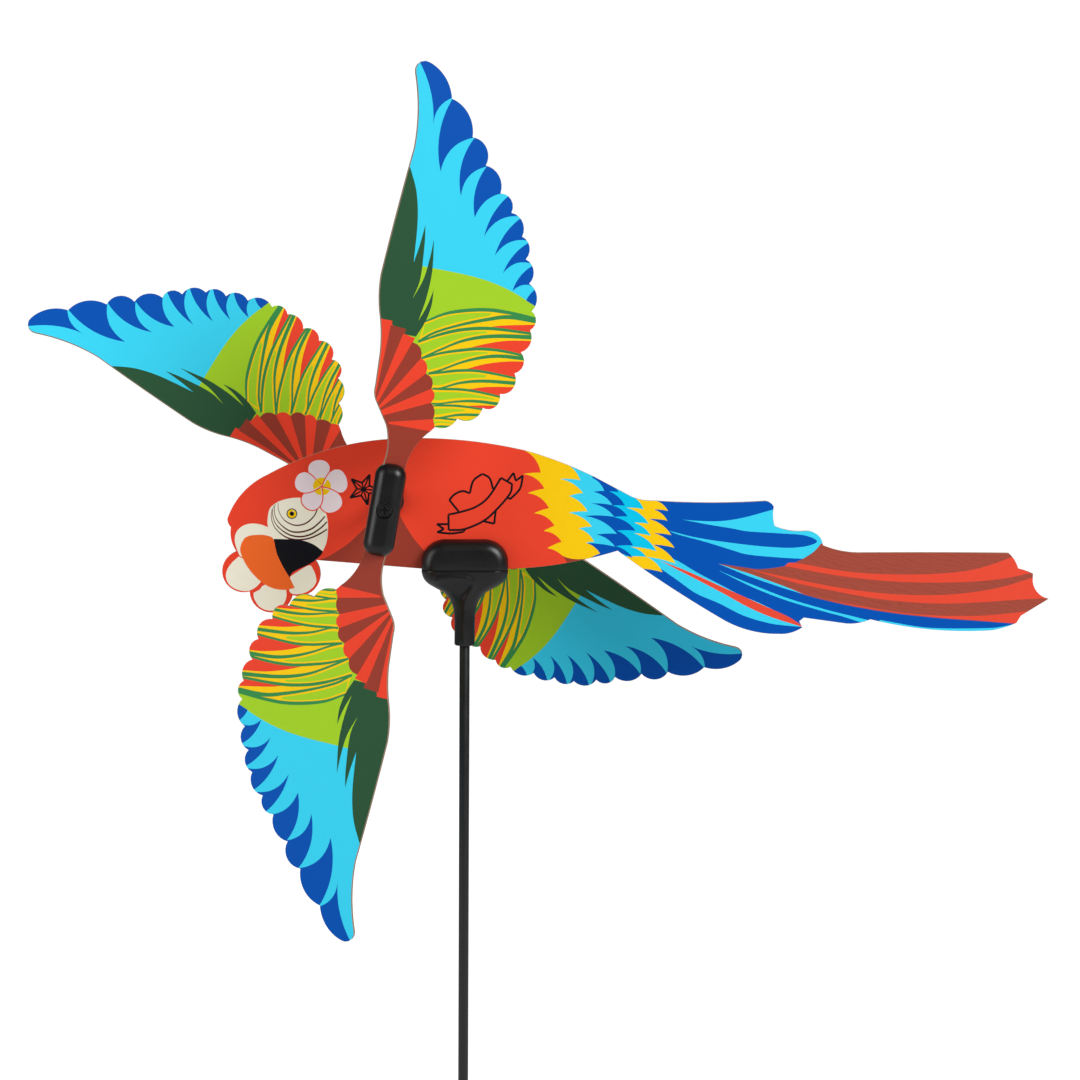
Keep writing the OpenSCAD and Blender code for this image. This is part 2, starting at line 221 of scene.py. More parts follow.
VENEER_EDGE = plywood_edge("laser_cut_birch_face_ply", "#B59A82", "#8A6A54")
CORE_EDGE = plywood_edge("laser_cut_birch_core_ply", "#9C7C62", "#775A47")


def moulded_plastic(name, colour, rough, grain_mm):
    """Plastic moulded in a spark-eroded tool, or a powder coat.

    The eye gets a satin face with a very fine pebble grain and faint, wide flow marks.
    """
    made, tree, shader = new_material(name)
    own = add_node(tree, "ShaderNodeTexCoord")
    pebble = add_node(tree, "ShaderNodeTexNoise", inputs={
        "Vector": (own, "Object"), "Scale": 1 / (grain_mm * MM), "Detail": 2.0})
    # flow marks from the gate, some 12 mm long
    flow = add_node(tree, "ShaderNodeTexNoise", inputs={
        "Vector": (own, "Object"), "Scale": 80.0, "Detail": 2.0})
    sheen = add_node(tree, "ShaderNodeMapRange", inputs={
        "Value": (flow, "Fac"), "From Min": 0.3, "From Max": 0.7, "To Min": rough - 0.05,
        "To Max": rough + 0.06})
    tree.links.new(sheen.outputs["Result"], shader.inputs["Roughness"])
    bump = add_node(tree, "ShaderNodeBump", inputs={
        "Height": (pebble, "Fac"), "Strength": 0.25, "Distance": 0.00004})
    tree.links.new(bump.outputs["Normal"], shader.inputs["Normal"])
    shader.inputs["Base Color"].default_value = linear(colour)
    shader.inputs["Specular IOR Level"].default_value = 0.55
    return made


def bare_steel(name, colour, rough, metallic=1.0):
    """Drawn steel: the eye gets fine streaks that run along the bar."""
    made, tree, shader = new_material(name)
    own = add_node(tree, "ShaderNodeTexCoord")
    along = add_node(tree, "ShaderNodeMapping", inputs={
        "Vector": (own, "Object"), "Scale": (4000, 60, 4000)})
    streak = add_node(tree, "ShaderNodeTexNoise", inputs={
        "Vector": (along, "Vector"), "Scale": 1.0, "Detail": 2.0})
    sheen = add_node(tree, "ShaderNodeMapRange", inputs={
        "Value": (streak, "Fac"), "To Min": rough - 0.08, "To Max": rough + 0.1})
    tree.links.new(sheen.outputs["Result"], shader.inputs["Roughness"])
    shader.inputs["Base Color"].default_value = linear(colour)
    shader.inputs["Metallic"].default_value = metallic
    return made


BLACK_PLASTIC = moulded_plastic("moulded_black_nylon", "#08080A", 0.36, 0.25)
WHITE_NYLON = moulded_plastic("moulded_white_nylon", "#E6E1D2", 0.45, 0.25)
STEEL = bare_steel("drawn_bright_steel", "#B9BBBE", 0.3)
BLACK_STEEL = bare_steel("oil_blackened_steel", "#121213", 0.55, 0.4)
BLACK_ROD = moulded_plastic("satin_black_powder_coat", "#19191A", 0.38, 0.5)
SLOT_MATERIALS = {
    "black_plastic": BLACK_PLASTIC, "white_nylon": WHITE_NYLON,
    "steel": STEEL, "black_steel": BLACK_STEEL, "black_rod": BLACK_ROD,
}


# ---- Curves of the print ----------------------------------------------------------------------

LEAST_BOW = 0.05
LEAST_CHORD = 0.1
ARC_STEP = 2.2
SAME_POINT = 0.02

def vectors(points):
    return [Vector(q) for q in points]


def arc(a, b, bow):
    """Points from a to b, b left out, on an arc that bows to the left by the length given."""
    a, b = Vector(a), Vector(b)
    chord = (b - a).length
    if abs(bow) < LEAST_BOW or chord < LEAST_CHORD:
        return [a]
    left = Vector((-(b - a).y, (b - a).x)) / chord
    steps = max(3, int(chord / ARC_STEP))
    made = []
    for i in range(steps):
        t = i / steps
        made.append(a.lerp(b, t) + left * bow * 4 * t * (1 - t))
    return made


def smooth(points, per=5):
    """A smooth curve through the points, ends included."""
    p = vectors(points)
    if len(p) < 3:
        return p
    p = [2 * p[0] - p[1]] + p + [2 * p[-1] - p[-2]]
    made = []
    for a, b, c, d in zip(p, p[1:], p[2:], p[3:]):
        for i in range(per):
            t = i / per
            made.append(0.5 * (2 * b + (c - a) * t + (2 * a - 5 * b + 4 * c - d) * t * t
                               + (3 * b - a - 3 * c + d) * t ** 3))
    return made + [p[-2]]


def shape(*runs):
    """A closed shape from runs of points: each run is a smooth curve, with corners between."""
    made = []
    for run in runs:
        for q in smooth(run):
            if not made or (q - made[-1]).length > SAME_POINT:
                made.append(q)
    if (made[0] - made[-1]).length < SAME_POINT:
        made.pop()
    return made


def band(line, widths):
    """The outline of a line whose width runs evenly through the widths given."""
    left, right = [], []
    for i, q in enumerate(line):
        t = i / (len(line) - 1) * (len(widths) - 1)
        k = min(int(t), len(widths) - 2)
        half = (widths[k] + (widths[k + 1] - widths[k]) * (t - k)) / 2
        way = (line[min(i + 1, len(line) - 1)] - line[max(i - 1, 0)]).normalized()
        side = Vector((-way.y, way.x)) * half
        left.append(q + side)
        right.append(q - side)
    return left + right[::-1]


def stroke(points, width, curved=True):
    """A drawn line of one width along the points."""
    return band(smooth(points) if curved else vectors(points), [width, width])


def tapered(points, widths):
    """A smooth drawn line whose width changes on its way."""
    return band(smooth(points), widths)


def disc(centre, radius, sides=28):
    """A round shape."""
    return [Vector(centre) + radius * Vector((math.cos(math.tau * i / sides),
                                              math.sin(math.tau * i / sides)))
            for i in range(sides)]


# ---- Printed panels ---------------------------------------------------------------------------

# how much every sharp edge is eased, and how near two points of a print have to lie to become one
EASE = 0.12
MERGE = 0.004
# a panel's cut edge has six levels; the core ply lies between the third and the fourth
LAST = 5
CORE_PLY = 2
FACING = 0.99

def rim_of(corner_lists):
    """The directed edges that only one of the faces has, in the order met."""
    rim = {}
    for corners in corner_lists:
        for a, b in zip(corners, corners[1:] + corners[:1]):
            if (b, a) in rim:
                rim.pop((b, a))
            else:
                rim[(a, b)] = True
    return rim


def outline_loops(node, origin, across, up, out):
    """The loops of a CAD plate's face on the side of out, in the plate's own plane."""
    mesh = frame["nodes"][node].data
    faces = []
    for polygon in mesh.polygons:
        if polygon.normal.dot(out) < FACING:
            continue
        ways = [mesh.vertices[index].co - origin for index in polygon.vertices]
        faces.append([(round(d.dot(across) / MM, 3), round(d.dot(up) / MM, 3)) for d in ways])
    follow = {a: b for a, b in rim_of(faces)}
    loops = []
    while follow:
        start, b = next(iter(follow.items()))
        loop = []
        while b in follow:
            loop.append(Vector(b))
            b = follow.pop(b)
        loops.append(loop)
    return sorted(loops, key=lambda l: -abs(signed_area(l)))


def signed_area(points):
    """Area of a closed shape, positive where it runs to the left."""
    return sum(a.x * b.y - b.x * a.y for a, b in zip(points, points[1:] + points[:1])) / 2


def covers(points, q):
    """Whether the closed shape covers q, even where its line crosses itself."""
    turns = 0
    for a, b in zip(points, points[1:] + points[:1]):
        if (a.y > q.y) != (b.y > q.y) and q.x < a.x + (q.y - a.y) * (b.x - a.x) / (b.y - a.y):
            turns += 1 if b.y > a.y else -1
    return turns != 0


def printed_panel(name, node, body, origin, across, up, thickness, regions, base):
    """A flat plywood panel with its print on both faces, in faces of their own, and three plies."""
    out = across.cross(up)
    out.normalize()
    loops = outline_loops(node, origin, across, up, out)
    coords, lines = [], []
    for points in loops + [points for _, points in regions]:
        first, count = len(coords), len(points)
        lines += [(first + i, first + (i + 1) % count) for i in range(count)]
        coords += points
    flat, _, tris, _, _, _ = delaunay_2d_cdt(coords, lines, [], 0, MERGE, False)
    layers = []
    for ink, points in regions[::-1]:
        xs, ys = [q.x for q in points], [q.y for q in points]
        layers.append((ink, points, min(xs), max(xs), min(ys), max(ys)))
    used = sorted({base} | {ink for ink, _ in regions})
    kept = []
    for tri in tris:
        q = (flat[tri[0]] + flat[tri[1]] + flat[tri[2]]) / 3
        if not covers(loops[0], q) or any(covers(hole, q) for hole in loops[1:]):
            continue
        ink = next((ink for ink, points, x0, x1, y0, y1 in layers
                    if x0 < q.x < x1 and y0 < q.y < y1 and covers(points, q)), base)
        kept.append((tri, used.index(ink)))
    rim = rim_of([tri for tri, _ in kept])
    inward = {}
    for a, b in rim:
        way = (flat[b] - flat[a]).normalized()
        for k in (a, b):
            inward[k] = inward.get(k, Vector((0, 0))) + Vector((-way.y, way.x))
    half = thickness / 2
    mesh = bpy.data.meshes.new(name)
    shell = bmesh.new()
    layer = shell.loops.layers.uv.new("panel")
    places = {}

    def point(k, level, w):
        """Vertex k of the plan at height w; the face's rim is eased inwards."""
        if (k, level) not in places:
            q = flat[k].copy()
            if level in (0, LAST) and k in inward:
                q += inward[k].normalized() * EASE
            places[k, level] = shell.verts.new(
                origin + (across * q.x + up * q.y + out * w) * MM)
        return places[k, level]

    levels = [half, half - EASE, half / 3, -half / 3, EASE - half, -half]

    def face(corners, slot):
        made = shell.faces.new([point(k, level, levels[level]) for k, level in corners])
        made.material_index = slot
        for corner, (k, _) in zip(made.loops, corners):
            corner[layer].uv = flat[k] * MM
    for tri, ink in kept:
        face([(k, 0) for k in tri], ink)
        face([(k, LAST) for k in tri[::-1]], ink)
    for a, b in rim:
        for level in range(LAST):
            face([(b, level), (a, level), (a, level + 1), (b, level + 1)],
                 len(used) + (1 if level == CORE_PLY else 0))
    shell.normal_update()
    shell.to_mesh(mesh)
    shell.free()
    for ink in used:
        mesh.materials.append(INKS[ink])
    mesh.materials.append(VENEER_EDGE)
    mesh.materials.append(CORE_EDGE)
    settle(linked(name, mesh), node, body)


# ---- Print of the wings: u along the wing from the axle, v across it ----------------------------

# the lime core of a yellow leaf stays this far from the leaf's two edges
CORE_BELOW_TOP, CORE_OVER_LOW = 1.7, 1.9
NARROWEST_CORE = 0.5
# how far along its leaf each core reaches
CORE_ENDS = (54, 54, 54, 60, 70, 70, 70)
# the fan's plumes run this far inside the brown neck
PLUME_TUCK = 3


def wing_print():
    """The regions of a wing's print, each an ink and its shape, from the lowest layer up."""
    r = []

    def add(ink, points):
        r.append((ink, points))

    # lime area from the root to a bowed line across the wing
    add("lime", shape(
        [(134, -30), (133.5, -4), (133.5, 23), (132, 39.4), (128.7, 53), (124.2, 65.3)],
        [(124, 90), (20, 90), (20, -40), (134, -30)]))
    # dark flight feathers along the scalloped edge: (inner tip), (notch) and the bows between
    line = arc((238.3, -24.6), (207.8, -11.2), -2.6)
    tips = [
        (207.8, -11.2), (184.8, -2.6), (174.3, 11.2), (164.7, 21.2), (155.8, 28.5), (146.8, 36.6),
        (138.3, 43.1), (129.7, 50.4)]
    notches = [
        (224.5, -2.7), (206.4, 13.2), (192.7, 22.8), (181.8, 40), (170.5, 48.6), (158.4, 56),
        (146.3, 60.5), (133.9, 64.6)]
    in_bows = [-3, -4.4, -3.8, -4.4, -4.2, -3.8, -3.4, -2.8]
    out_bows = [4.2, 3.8, 3.2, 2.6, 2.4, 2.2, 2.0]
    for i, (tip, notch) in enumerate(zip(tips, notches)):
        line += arc(tip, notch, in_bows[i])
        if i < 7:
            line += arc(notch, tips[i + 1], out_bows[i])
    line += arc(notches[-1], (126.2, 59.5), 0.8)
    line += vectors([(126.2, 59.5), (124.2, 65.3), (120, 95), (260, 60), (262, -24)])
    add("blue", line)
    # bands over the lime: each green line with the yellow beside it, and red between them
    leaves = [
        (
            [(104.5, 3.6), (111.6, 16.4), (116.6, 34.8), (117.8, 50.1), (117.3, 70)],
            [(93.2, 1.9), (99.5, 10), (106.2, 23.8), (112.2, 39.7), (115.6, 52), (116.2, 70)],
            [(106.9, 38.1), (110.2, 48.1), (114.6, 70)]),
        (
            [(92.9, 1.9), (99.4, 14), (104.3, 26.9), (107.6, 43.4), (109, 70)],
            [(84.1, 4.6), (91.2, 15.3), (98.5, 28.1), (103.7, 44.8), (107.4, 70)],
            [(92.8, 27.1), (98.3, 39.5), (102.6, 53), (105.4, 70)]),
        (
            [(84.1, 4.6), (89.2, 15.7), (92.9, 27.4), (95.5, 38.3), (96.5, 50.8), (96, 68)],
            [(77.2, 10.7), (80.2, 17.4), (85.9, 27.6), (90.4, 38.2), (93.5, 50.2), (94.8, 68)],
            [(82.4, 30.3), (87.5, 41.6), (91.4, 55.2), (93.3, 68)]),
        (
            [(76.9, 10.7), (78.9, 17.6), (81.8, 28.4), (83.4, 40.7), (83, 64)],
            [(69.5, 14.6), (70.4, 19.2), (75.1, 29.7), (78.4, 43.3), (80.5, 64)],
            [(72.6, 35.3), (75.7, 46.7), (78.4, 64)]),
        (
            [(69.2, 14.6), (70, 19.3), (71.6, 30.3), (72, 41.7), (71.2, 58)],
            [(61.3, 15.6), (62.2, 20.8), (65.2, 31.6), (66.9, 42.7), (67.4, 58)],
            [(62.5, 31.5), (65.2, 45.9), (66.5, 58)]),
        (
            [(60.1, 16.2), (61.2, 21), (62.6, 32.1), (63, 48)],
            [(53.8, 18.8), (54.6, 22.2), (57.9, 33), (60, 48)],
            [(57, 37), (59, 48)]),
        ([(53.5, 18.8), (54.3, 22.3), (55, 36)], [(48.7, 19.5), (49.8, 22), (50.8, 34)], None)]
    nexts = leaves[1:] + [None]
    for k, ((top, low, red), after) in enumerate(zip(leaves, nexts)):
        if after:
            wedge = smooth(low) + smooth(after[0])[::-1]
            add("yellow", wedge)
            if red:
                after_top = [q for q in smooth(after[0]) if q.y > red[0][1]]
                add("red", smooth(red) + after_top[::-1])
        leaf = smooth(top) + smooth(low)[::-1]
        add("yellow", leaf)
        far = CORE_ENDS[k]
        core_top = [Vector((q.x - CORE_BELOW_TOP, q.y)) for q in smooth(top) if q.y < far]
        core_low = [Vector((q.x + CORE_OVER_LOW, q.y)) for q in smooth(low) if q.y < far]
        facing = ((q, min(core_low, key=lambda s: abs(s.y - q.y))) for q in core_top)
        core = [(a, b) for a, b in facing if a.x - b.x > NARROWEST_CORE]
        if len(core) > 2:
            add("lime", [a for a, _ in core] + [b for _, b in core][::-1])
    for k, (top, low, red) in enumerate(leaves):
        thin = 1.0 - 0.07 * k
        add("green", tapered(top, [1.0 * thin, 1.9 * thin, 2.0 * thin, 1.5 * thin]))
        add("green", tapered(low, [1.4 * thin, 1.3 * thin, 2.1 * thin, 2.6 * thin]))
    # dark green coverts on the smooth edge
    add("dark_green", shape(
        [(183.1, -19.6), (173.4, -14.7), (163.8, -11.8), (152.6, -10), (134.3, -8.6)],
        [(134.3, -8.6), (144.6, -6.9), (155.4, -5.8)],
        [(155.4, -5.8), (145, -4.3), (126.3, -3.3), (115.2, -5.7)],
        [(115.2, -5.7), (126.7, -1.5), (138.7, 0), (148.9, 0.4)],
        [(148.9, 0.4), (131.9, 2.6), (117.1, 2), (104.2, -0.2)],
        [(104.2, -0.2), (113, 3.2), (122.1, 5.3)],
        [(122.1, 5.3), (113.3, 5.6), (104.2, 3.7), (95.5, -0.1)],
        [(95.5, -0.1), (96, -10), (99, -32), (186, -32), (183.1, -19.6)]))
    # fan of red and brown plumes from the neck, with a lobed border
    add("red", vectors([(101.5, -40), (101.4, -16), (90, -5), (55, 8), (46.9, -5), (46.9, -40)]))
    starts = [
        (66, -24), (64.8, -16.6), (59.5, -15.9), (57.8, -14.6), (56.8, -13.1), (55.3, -12),
        (54.3, -10.6), (51.3, -9), (47.6, -7.1), (46.4, -6.4)]
    ends = [
        ((101.6, -26), (101.6, -14.7), 0),
        ((99.3, -15.2), (98.6, -6.2), 0),
        ((96, -7.4), (94.7, -0.3), 0),
        ((92.3, -1.4), (84.7, 5), 2.4),
        ((84.7, 5), (76.9, 9.3), 2.1),
        ((76.9, 9.3), (69.4, 14), 2.2),
        ((69.4, 14), (61.7, 15.1), 2.1),
        ((61.7, 15.1), (53.1, 18), 1.5),
        ((53.1, 18), (45.7, 20), 0.5)]
    for i, (a, b, bulge) in enumerate(ends):
        hub_side = [
            Vector(q) + (Vector(q) - Vector(far)).normalized() * PLUME_TUCK for q,
            far in ((starts[i], a), (starts[i + 1], b))]
        add(
            "red" if i % 2 == 0 else "brown",
            [hub_side[0]] + arc(a, b, -bulge) + [Vector(b), hub_side[1]])
    add("brown", vectors([
        (47.6, -7.1), (46.6, -6.4), (46.2, 19.5), (40, 26), (-5, 26), (-5, -26), (40, -26),
        (50, -12)]))
    return r


# ---- Print of the bird: x towards the tail from the axle, z upwards -----------------------------

def scale_row(tips_and_notches, bows=(0.1, 0.03)):
    """The ragged border of a row of scales, from the back of the bird down."""
    line = []
    for i, (a, b) in enumerate(zip(tips_and_notches, tips_and_notches[1:])):
        chord = (Vector(b) - Vector(a)).length
        line += arc(a, b, chord * (bows[0] if i % 2 == 0 else -bows[1]))
    return line + [Vector(tips_and_notches[-1])]


def bird_print():
    """The regions of the bird's print, each an ink and its shape, from the lowest layer up."""
    r = []

    def add(ink, points):
        r.append((ink, points))

    # long tail
    add("tail_brown", shape(
        [(193.2, -36.7), (208, -38.8), (218, -39.9), (232.6, -38), (243.3, -33.7), (249.7, -29.4),
         (254.4, -24)],
        [(256, -15), (400, -15), (400, -66), (371.1, -72.2)],
        [(371.1, -72.2), (349.2, -70.6), (327.3, -69), (298.2, -66), (269.1, -61), (244.5, -55),
         (232.9, -50.4), (211.2, -42.6), (193.2, -36.7)]))
    add("tail_red", shape(
        [(232.6, -38), (237.6, -36), (260, -39.8), (280.3, -42.2), (300.5, -42.9), (320.8, -42.6),
         (341, -40.7), (355.4, -37.1), (369, -32)],
        [(369, -32), (395, -30), (395, -41), (380, -41.7)],
        [(380, -41.7), (367.3, -44.6), (348.5, -46.9), (326.7, -47.7), (300.6, -47.3),
         (280.4, -45.6), (260.1, -43), (232.6, -38)]))
    add("tail_red", shape(
        [(211.1, -39.9), (240, -45.9), (260.3, -49.9), (283.4, -53.3), (305.2, -55), (326.9, -55),
         (345.8, -53.3), (363.1, -50.1), (381, -44.6)],
        [(381, -44.6), (398, -46), (398, -56), (391, -56.8)],
        [(391, -56.8), (370.7, -58), (348.9, -59.5), (327.1, -60.2), (305.3, -59.2), (283.5, -56.7),
         (260.3, -52.4), (240, -48.1), (211.1, -39.9)]))
    add("tail_red", shape(
        [(226, -48.2), (254.6, -56.7), (276.4, -61.4), (305.5, -66), (327.3, -67.5), (349.1, -67.5),
         (363.6, -66.4), (377, -64.9)],
        [(377, -64.9), (386, -66), (380, -76), (371.1, -72.2)],
        [(371.1, -72.2), (349.2, -70.3), (327.3, -68.8), (298.2, -65.6), (269.1, -60.6),
         (240, -52.6), (226, -48.2)]))
    # fine cyan lines and the cyan edge below the tail
    add("pale_cyan", tapered(
        [(193.2, -36.7), (211.2, -43.2), (231.5, -50.3), (244, -54.6)],
        [0, 1.6, 1.3, 0]))
    add("pale_cyan", tapered(
        [(193.2, -40.5), (211.3, -48.8), (233, -57.3), (254.8, -63.8), (269.3, -67.6),
         (283, -71.5)],
        [0, 1.5, 1.4, 1.4, 2.6]))
    add("pale_cyan", shape(
        [(290, -70), (312.9, -74), (327.5, -75), (349.3, -75), (361, -74.4), (371.5, -72.2)],
        [(371.5, -72.2), (376, -80), (290, -80), (290, -70)]))
    # upper fan
    add("pale_cyan", shape(
        [(171.5, -10.7), (179.9, -11.4), (193.5, -11.6), (207.7, -9.5), (226, -4.4)],
        [(226, -4.4), (240, -6), (262, -14), (260, -24), (253.9, -24.6)],
        [(253.9, -24.6), (249.7, -29.4), (243.3, -33.7)],
        [(243.3, -33.7), (229.7, -33), (211, -31.3), (201.3, -28.7), (185.4, -23.8), (169.5, -19.6),
         (163.7, -17.3)],
        [(163.7, -17.3), (171.5, -10.7)]))
    add("blue", shape(
        [(171.5, -10.7), (185.2, -13.3), (201.1, -15.9), (210.7, -17.6), (229.4, -18.7),
         (243.8, -19.8), (251.3, -22.9), (248.2, -25.5), (239.6, -27), (229.5, -27.1),
         (210.9, -25.6), (182.2, -21.7), (163.7, -17.3)],
        [(163.7, -17.3), (158, -12), (171.5, -10.7)]))
    # lower fan
    add("pale_cyan", shape(
        [(150, -31), (159.2, -31.2), (169.8, -35.4), (180.4, -41.7), (197, -50.3), (205.7, -54.9),
         (217.2, -59.6)],
        [(217.2, -59.6), (226, -63.9), (241.3, -71.8), (244, -74.2)],
        [(244, -74.2), (233.4, -73.3), (223.2, -71.8), (208.8, -67.5), (194.3, -60.3),
         (180.6, -54.4), (169.9, -47), (159.3, -39.6), (150.8, -33.3)],
        [(150.8, -33.3), (150, -31)]))
    add("tail_red", shape(
        [(158.7, -34.9), (175.1, -41.2), (197, -51), (211.5, -57.4), (226, -63.9), (234.7, -67.8),
         (241.3, -71.8), (244.5, -74.4)],
        [(244.5, -74.4), (226.1, -68.7), (211.5, -62.5), (197, -54.6), (182.6, -47.1),
         (158.7, -34.9)]))
    # rows of scales over the rump, from the tail forwards
    rows = [
        ("yellow", [
            (155.6, 0.5), (163.2, -5.7), (154.8, -4.8), (162.9, -11.4), (151.9, -10.4),
            (165.3, -19.9), (155, -18.8), (167.3, -27.4), (154.4, -25.5), (168.2, -36.7),
            (150.8, -32.8), (160.4, -41.8), (145, -39.5)]),
        ("deep_cyan", [
            (141.4, 3.2), (148.9, -4.8), (138.7, -3.8), (152.1, -13.4), (143.4, -12.6),
            (153.3, -20.4), (143.3, -18.8), (156.7, -29.3), (141.3, -26.8), (150.8, -32.8),
            (137, -32.8)]),
        ("blue", [
            (128.5, 10.5), (134, 5.2), (128.5, 5.6), (137.8, -2.7), (130.3, -2.6), (139.5, -9),
            (131.3, -9.4), (144.3, -17.4), (133.3, -17.4), (142.8, -26), (132.7, -26.5),
            (142.9, -33.6), (133, -30)]),
        ("pale_cyan", [
            (118.6, 13.5), (125.7, 5.9), (119.4, 5.4), (130.5, -2.4), (117.9, -1.4), (131.6, -9.2),
            (114, -8.8), (133.3, -19.2), (121.3, -19.7), (132.3, -26.8), (115, -24.7), (115, -30)]),
        ("yellow", [
            (101, 23), (111.6, 12.1), (99.6, 12.8), (113.2, 4.6), (104.9, 2.9), (115.9, -6.1),
            (104.9, -7), (118.6, -15), (110.8, -16.1), (120.1, -23.9), (115, -24.5), (123.5, -30.8),
            (117.2, -33.9)])]
    for ink, border in rows:
        last = border[-1]
        line = scale_row(border)
        add(ink, [Vector((60, 60)), Vector((border[0][0], 60))] + line + [
            Vector((last[0], -60)), Vector((60, -60))])
    add("brown", shape(
        [(100, -31), (103, -32.9), (109, -34.2), (117.2, -33.9)],
        [(117.2, -33.9), (122, -44), (98, -50), (100, -31)]))
    red = scale_row(
        [(78.3, 29.6), (88.4, 16.4), (78.2, 15.6), (90.7, 7.1), (80.9, 4.5), (93.4, -4.3),
         (84.6, -7.3), (96.7, -14.6), (90.4, -17.7), (100.9, -24), (92.6, -27.7), (104.6, -37)],
        (0.13, 0.03))
    add("red", [Vector((-120, 60)), Vector((78.3, 60))] + red + [
        Vector((104.6, -60)), Vector((60, -90)), Vector((-120, -90))])
    # brown flank below the hub
    add("brown", shape(
        [(-41.2, -35.4), (-34.9, -32.9), (-28.9, -29.2), (-22.3, -24.5), (-15.2, -17.6),
         (-9, -10.9), (-1, 0)],
        [(-1, 0), (3, -2), (6.5, -8.6), (9.7, -14.4), (14.5, -22), (22.4, -31.9), (29, -44)],
        [(29, -44), (20, -60)],
        [(20, -60), (-20, -60)],
        [(-20, -60), (-35.5, -38.5)],
        [(-35.5, -38.5), (-41.2, -35.4)]))
    # face
    add("cream", shape(
        [(-86, -32.7), (-88.3, -26.7), (-88.8, -22), (-87.3, -18), (-83.8, -15), (-79.2, -13.8),
         (-73.9, -14.3), (-69.6, -15.9)],
        [(-69.6, -15.9), (-69.9, -11.9), (-68.6, -5.3), (-64.6, -1.6), (-59.3, 0.4), (-53.3, 1.3),
         (-46, 0.8), (-40.5, -1.5), (-36.8, -6), (-35.2, -11.8), (-35, -17.8), (-35.9, -24.5),
         (-37.9, -29.6)],
        [(-37.9, -29.6), (-45, -34), (-60, -36), (-75, -38), (-86, -32.7)]))
    face_lines = (
        (0.8, [
            (-63.8, -1.6), (-63.3, -6.6), (-60, -11.9), (-54.1, -14.7), (-48.1, -13.7),
            (-43.4, -9.8), (-41.1, -5.5)]),
        (0.95, [
            (-65.4, -2.2), (-65.8, -7.9), (-63.3, -13.2), (-57.4, -17.9), (-51.4, -18.7),
            (-44.8, -16.9), (-40.1, -13.2), (-36.8, -9.5)]),
        (0.95, [
            (-66.4, -3.2), (-66.9, -8.6), (-64.7, -14.6), (-58.7, -19.6), (-52.1, -21.4),
            (-45.5, -20.2), (-39.5, -16.5), (-35.5, -12.6)]),
        (0.95, [
            (-67.2, -5.2), (-67.6, -10.6), (-65.3, -16.6), (-59.4, -21.6), (-52.8, -23.2),
            (-45.5, -22.2), (-39.5, -19.5), (-35.5, -17)]))
    for wide, line in face_lines:
        add("maroon", tapered(line, [0.3, 0.5 * wide, wide, wide, 0.8 * wide]))
    beak_petals = (
        [(-86.6, -33), (-90.6, -36.7), (-93.3, -40.7), (-94.1, -44.8), (-92.7, -48.8),
         (-89.1, -51.8), (-84.1, -53.2), (-80.2, -52.8), (-76.8, -50.8), (-74.2, -48.1),
         (-70, -42)],
        [(-78.2, -54.2), (-77.9, -57.5), (-75.6, -61.6), (-72.3, -63.9), (-68.3, -64.7),
         (-64.3, -63.9), (-61, -60.9), (-59.3, -56.8), (-59.3, -52.8), (-60, -46), (-71.5, -49.4),
         (-74.9, -52.5)],
        [(-56.9, -44.7), (-52.9, -42), (-46.2, -38.1), (-43.9, -40), (-42.3, -44), (-41.9, -47.4),
         (-43.6, -50.7), (-47, -53.4), (-51, -54.8), (-55.6, -54.9), (-57.6, -53.2)])
    for petal in beak_petals:
        add("cream", shape(petal, [petal[-1], petal[0]]))
    add("black", shape(
        [(-66.2, -22.7), (-54.1, -23.1), (-48.2, -24), (-42.9, -26.2), (-37.9, -30)],
        [(-37.9, -30), (-39.6, -32.6), (-43.6, -36), (-47.6, -38.3), (-52.9, -40.7), (-56.2, -43),
         (-57.4, -45.7)],
        [(-57.4, -45.7), (-66, -40), (-68, -28), (-66.2, -22.7)]))
    add("orange", shape([
        (-54.4, -51.4), (-60.2, -52.5), (-66.2, -51.8), (-71.5, -49.4), (-76.8, -45.1),
        (-81.4, -39.4), (-84.3, -34), (-85.8, -28.7), (-83.9, -23.3), (-80.6, -21), (-74.6, -20.3),
        (-69.3, -21), (-66.6, -22.7), (-65.4, -28), (-64.1, -32.6), (-60.8, -39.4), (-56.9, -46.1),
        (-54.4, -51.4)]))
    eye = (-55.8, -8)
    r += [
        ("slate", disc(eye, 3.1)),
        ("yellow", disc(eye, 2.5)),
        ("black", disc(eye, 1.3)),
        ("cream", disc((-55.1, -6.7), 0.4, 12))]
    # five-petal flower, its petals turned like a windmill's sails
    centre = Vector((-38.4, 7.9))
    petal = [
        (0.4, -0.3), (3, 2.6), (7, 5.3), (10.8, 5.9), (14, 4.4), (15.4, 0.8), (14.4, -3.4),
        (11, -5.5), (7, -4.5), (3.2, -2), (0.6, -0.8)]
    # each petal's turn in degrees, and its length and width against the shape above
    petal_turns = ((98, 1.0, 1.08), (17, 0.97, 1.2), (-62, 1.06, 1.12), (-128, 1.0, 1.0),
                   (166, 1.02, 1.02))
    for turn, long, wide in petal_turns:
        a = math.radians(turn)
        way, side = Vector((math.cos(a), math.sin(a))), Vector((-math.sin(a), math.cos(a)))
        points = smooth([centre + way * x * long + side * y * wide for x, y in petal])
        add("red", stroke(points, 1.3, False))
        add("petal", points)
        heart = [centre + way * x + side * y for x, y in [
            (0.4, -0.4), (2.6, 1.5), (4.2, 2.9), (5.2, 0), (4.2, -3.1), (2.8, -2.2), (0.6, -0.9)]]
        add("yellow", smooth(heart))
